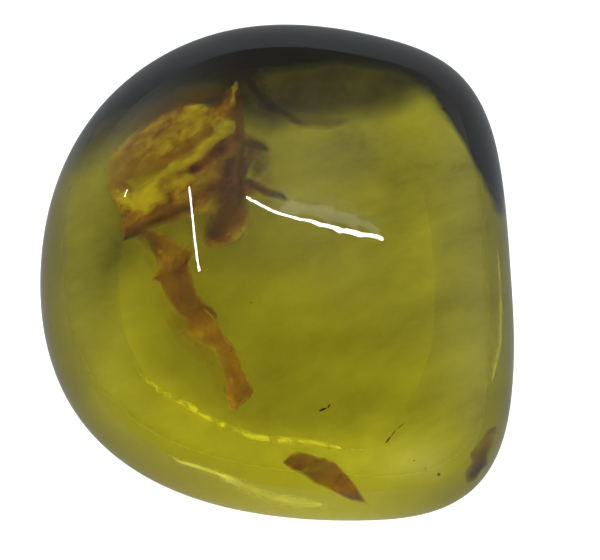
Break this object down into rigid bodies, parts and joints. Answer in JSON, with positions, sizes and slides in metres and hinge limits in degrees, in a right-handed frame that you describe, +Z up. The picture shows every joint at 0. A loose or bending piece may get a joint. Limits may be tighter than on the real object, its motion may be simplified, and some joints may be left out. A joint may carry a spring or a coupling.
{
  "type": "amber cabochon",
  "caption": "Clear olive-yellow polished amber with a domed top and a rounded underside ground to a flat spot, with brown plant debris sealed inside.",
  "frame": {"origin": "on the flat spot that the stone rests on, under the middle of its outline", "axes": "+Z up through the dome, +Y along the longer side of the outline"},
  "size_m": [0.0318, 0.0344, 0.0135],
  "materials": {
    "amber": "clear polished fossil resin",
    "plant_film": "crumpled translucent plant film",
    "bark": "folded strip of thin bark",
    "dark_debris": "dull brown plant flake"
  },
  "bodies": {
    "root": {"amber_crown": "amber", "amber_base": "amber", "plant_veil": "plant_film", "bark_strip": "bark", "leaf_flake": "dark_debris", "edge_flake": "dark_debris"}
  },
  "joints": []
}
